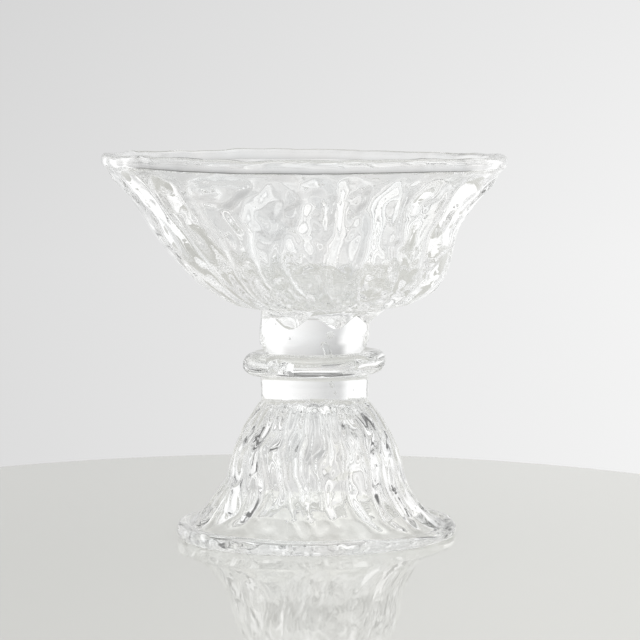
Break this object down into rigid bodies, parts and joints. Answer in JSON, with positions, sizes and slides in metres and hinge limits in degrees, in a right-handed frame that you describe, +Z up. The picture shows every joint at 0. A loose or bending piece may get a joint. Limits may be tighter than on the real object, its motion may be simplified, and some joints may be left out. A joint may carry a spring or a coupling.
{
  "type": "footed candle bowl",
  "caption": "Wide flared bowl of clear ribbed glass on a short collared neck and a bell-shaped foot, to hold water and floating candles.",
  "frame": {"origin": "middle of the flat ring under the foot, on the surface the bowl stands on", "axes": "+Z up along the axis of the foot and neck, -Y towards the front, where the collar's tail is"},
  "size_m": [0.2499, 0.25, 0.2378],
  "materials": {
    "clear_glass": "smooth clear hand-made glass with a faint grey-green tint"
  },
  "bodies": {
    "root": {"bowl": "clear_glass", "lip_wrap": "clear_glass", "neck_knop": "clear_glass", "collar_wrap": "clear_glass", "foot": "clear_glass", "foot_wrap": "clear_glass"}
  },
  "joints": []
}
